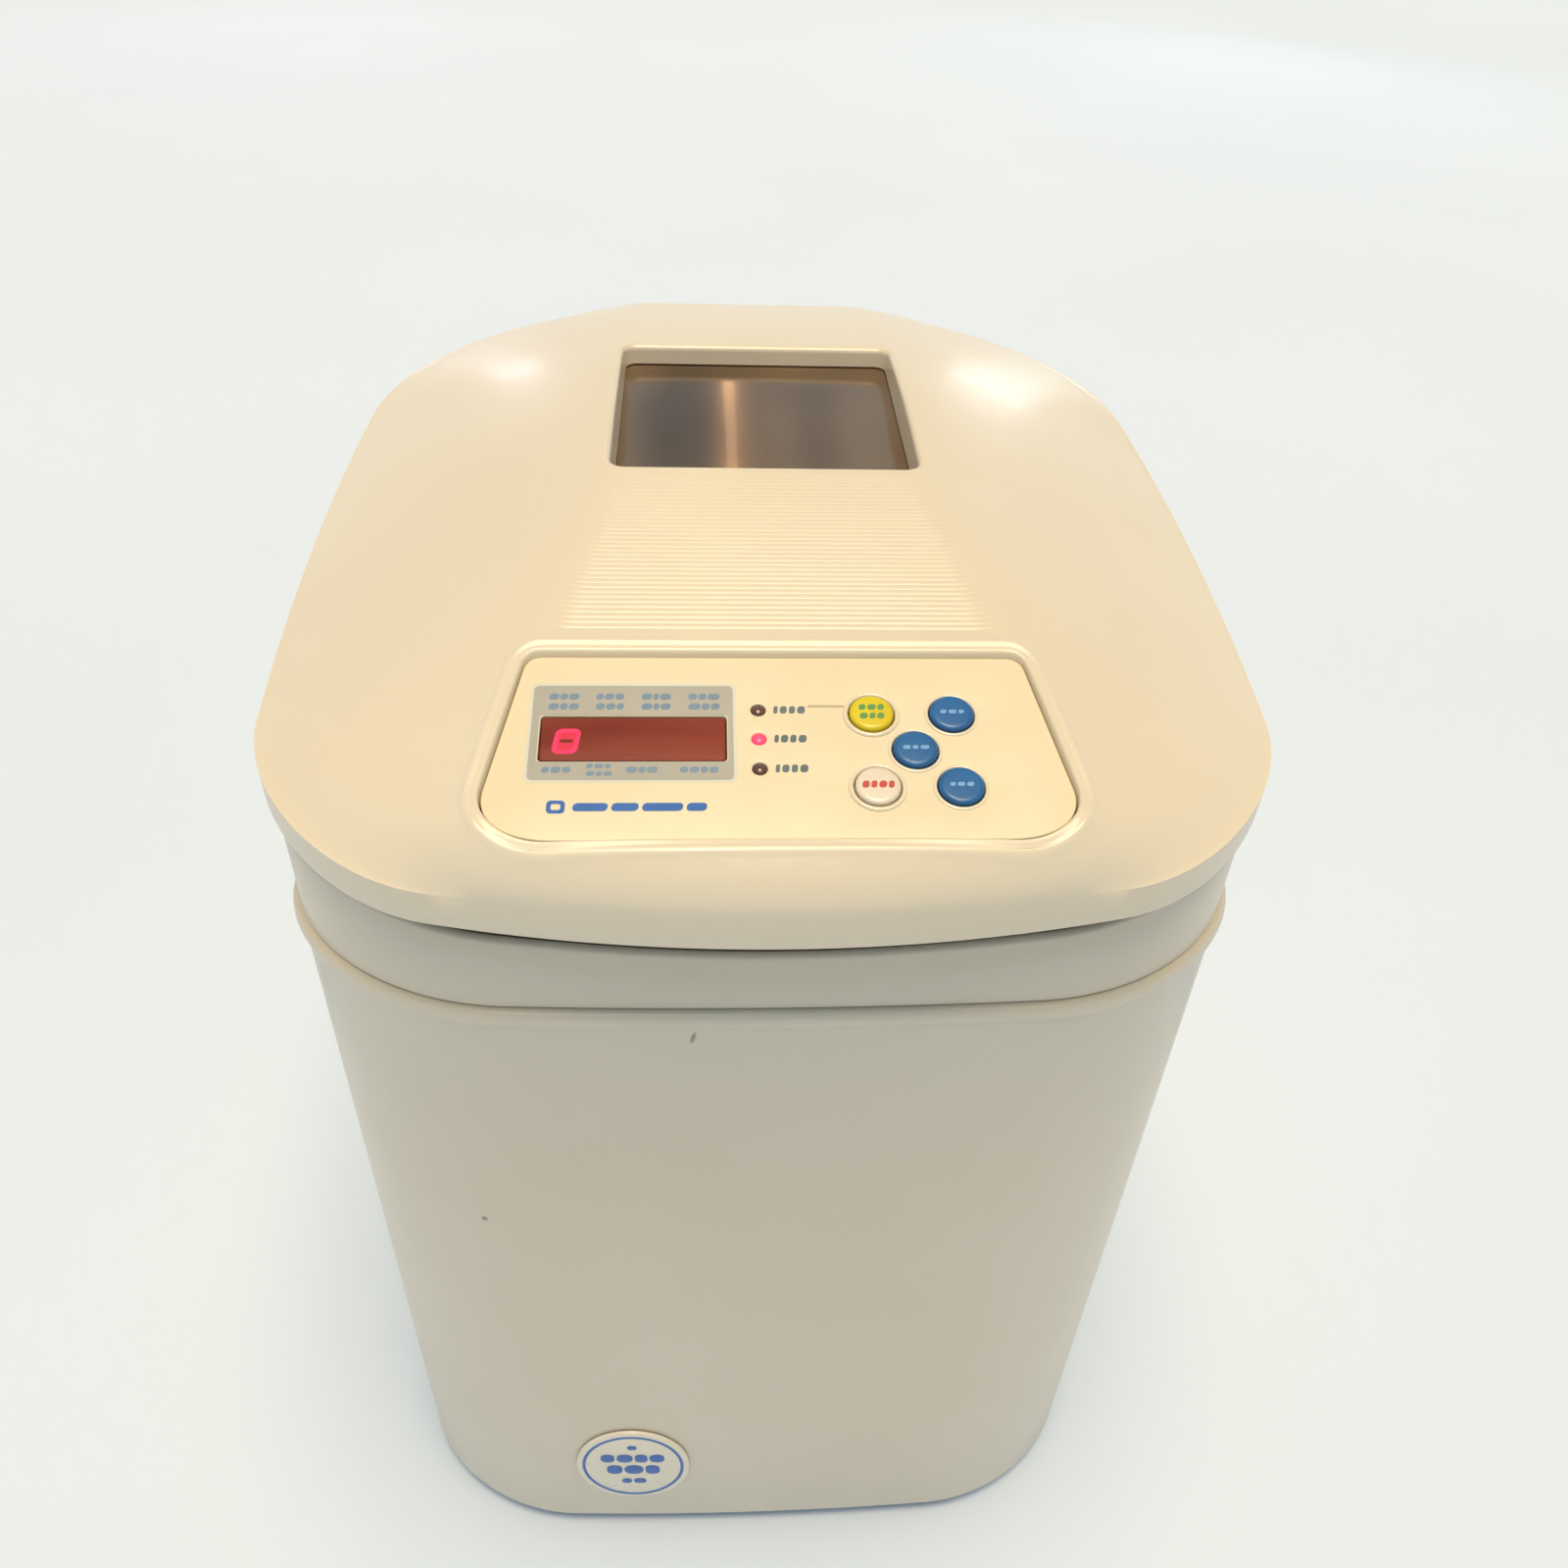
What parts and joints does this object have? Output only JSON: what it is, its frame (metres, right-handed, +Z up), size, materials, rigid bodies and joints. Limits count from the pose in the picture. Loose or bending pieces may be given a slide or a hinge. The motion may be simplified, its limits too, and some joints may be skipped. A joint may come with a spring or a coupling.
{
  "type": "bread machine",
  "caption": "Tall rounded bread machine: hinged lid with window and sloping control panel, oven chamber, lift-out pan, kneading paddle and belt drive.",
  "frame": {"origin": "middle of the footprint, on the surface the feet stand on", "axes": "+Z up, front with the control panel towards -Y, +X to the right seen from the front"},
  "size_m": [0.251, 0.3296, 0.3554],
  "materials": {
    "shell_plastic": "glossy ivory moulded plastic",
    "panel_overlay": "satin cream printed overlay",
    "badge_white": "glossy white oval with a thin blue ring",
    "rubber_black": "matt black rubber",
    "plated_steel": "zinc-plated steel",
    "aluminised_steel": "pressed aluminised sheet",
    "element_sheath": "dark oxidised metal sheath",
    "copper": "copper and enamelled windings",
    "black_plastic": "black moulded plastic",
    "circuit_board": "green laminate",
    "nonstick_coating": "dark grey non-stick coating",
    "bronze_glass": "bronze-tinted glass",
    "grey_silicone": "grey silicone rubber",
    "red_lens": "dark red translucent lens",
    "lamp_off": "dark red lamp, off",
    "lamp_on": "red lamp, lit",
    "yellow_cap": "glossy yellow cap",
    "white_cap": "glossy white cap",
    "blue_cap": "glossy blue cap"
  },
  "bodies": {
    "housing": {"outer_shell": "shell_plastic", "top_rim": "shell_plastic", "base_plate": "shell_plastic", "foot_front_left": "rubber_black", "foot_front_right": "rubber_black", "foot_rear_left": "rubber_black", "foot_rear_right": "rubber_black", "base_screw_1": "plated_steel", "base_screw_2": "plated_steel", "base_screw_3": "plated_steel", "base_screw_4": "plated_steel", "cord_bushing": "black_plastic", "front_badge": "badge_white", "chassis": "plated_steel", "oven_chamber": "aluminised_steel", "heating_element": "element_sheath", "temperature_sensor": "copper", "pan_clip_left": "plated_steel", "pan_clip_right": "plated_steel", "shaft_bearing": "black_plastic", "drive_belt": "rubber_black", "motor_body": "copper", "motor_capacitor": "black_plastic", "power_board": "circuit_board", "transformer": "copper", "hinge_bracket_left": "plated_steel", "hinge_bracket_right": "plated_steel", "hinge_pin_left": "plated_steel", "hinge_pin_right": "plated_steel"},
    "lid": {"lid_shell": "shell_plastic", "lid_liner": "aluminised_steel", "lid_gasket": "grey_silicone", "window_glass": "bronze_glass", "window_seal": "grey_silicone", "control_panel": "panel_overlay", "display_lens": "red_lens", "display_module": "black_plastic", "control_board": "circuit_board", "led_light": "lamp_off", "led_medium": "lamp_on", "led_dark": "lamp_off", "hinge_arm_left": "shell_plastic", "hinge_arm_right": "shell_plastic"},
    "start_button": {"button_start": "yellow_cap"},
    "stop_button": {"button_stop": "white_cap"},
    "timer_up_button": {"button_timer_up": "blue_cap"},
    "select_button": {"button_select": "blue_cap"},
    "timer_down_button": {"button_timer_down": "blue_cap"},
    "motor_rotor": {"motor_shaft": "plated_steel", "motor_pulley": "black_plastic", "motor_fan": "black_plastic"},
    "drive": {"drive_shaft": "plated_steel", "drive_pulley": "black_plastic", "drive_coupler": "plated_steel"},
    "pan": {"bread_pan": "nonstick_coating", "pan_base_ring": "plated_steel", "pan_bearing": "plated_steel"},
    "handle": {"pan_handle": "plated_steel"},
    "pan_drive": {"pan_shaft": "plated_steel"},
    "paddle": {"kneading_paddle": "nonstick_coating"}
  },
  "joints": [
    {"name": "lid_hinge", "type": "hinge", "parent": "housing", "child": "lid", "pos_m": [0, 0.159, 0.3], "axis": [-1, 0, 0], "range_deg": [0, 100]},
    {"name": "start_press", "type": "slide", "parent": "lid", "child": "start_button", "axis": [0, 0.2302, -0.9731], "range_m": [0, 0.0008], "stiffness_N_per_m": 300},
    {"name": "stop_press", "type": "slide", "parent": "lid", "child": "stop_button", "axis": [0, 0.2302, -0.9731], "range_m": [0, 0.0008], "stiffness_N_per_m": 300},
    {"name": "timer_up_press", "type": "slide", "parent": "lid", "child": "timer_up_button", "axis": [0, 0.2302, -0.9731], "range_m": [0, 0.0008], "stiffness_N_per_m": 300},
    {"name": "select_press", "type": "slide", "parent": "lid", "child": "select_button", "axis": [0, 0.2302, -0.9731], "range_m": [0, 0.0008], "stiffness_N_per_m": 300},
    {"name": "timer_down_press", "type": "slide", "parent": "lid", "child": "timer_down_button", "axis": [0, 0.2302, -0.9731], "range_m": [0, 0.0008], "stiffness_N_per_m": 300},
    {"name": "pan_lift", "type": "slide", "parent": "housing", "child": "pan", "axis": [0, 0, 1], "range_m": [0, 0.04]},
    {"name": "handle_swing", "type": "hinge", "parent": "pan", "child": "handle", "pos_m": [0, 0.0325, 0.266], "axis": [-1, 0, 0], "range_deg": [0, 180]},
    {"name": "drive_spin", "type": "hinge", "parent": "housing", "child": "drive", "pos_m": [0, 0.0325, 0], "axis": [0, 0, 1], "continuous": true},
    {"name": "motor_spin", "type": "hinge", "parent": "housing", "child": "motor_rotor", "pos_m": [0, -0.108, 0], "axis": [0, 0, 1], "continuous": true},
    {"name": "pan_shaft_spin", "type": "hinge", "parent": "pan", "child": "pan_drive", "pos_m": [0, 0.0325, 0], "axis": [0, 0, 1], "continuous": true},
    {"name": "paddle_lift", "type": "slide", "parent": "pan_drive", "child": "paddle", "axis": [0, 0, 1], "range_m": [0, 0.025]}
  ],
  "couplings": [
    {"joint": "motor_spin", "follows": "drive_spin", "ratio": 4.8679},
    {"joint": "pan_shaft_spin", "follows": "drive_spin", "ratio": 1}
  ]
}
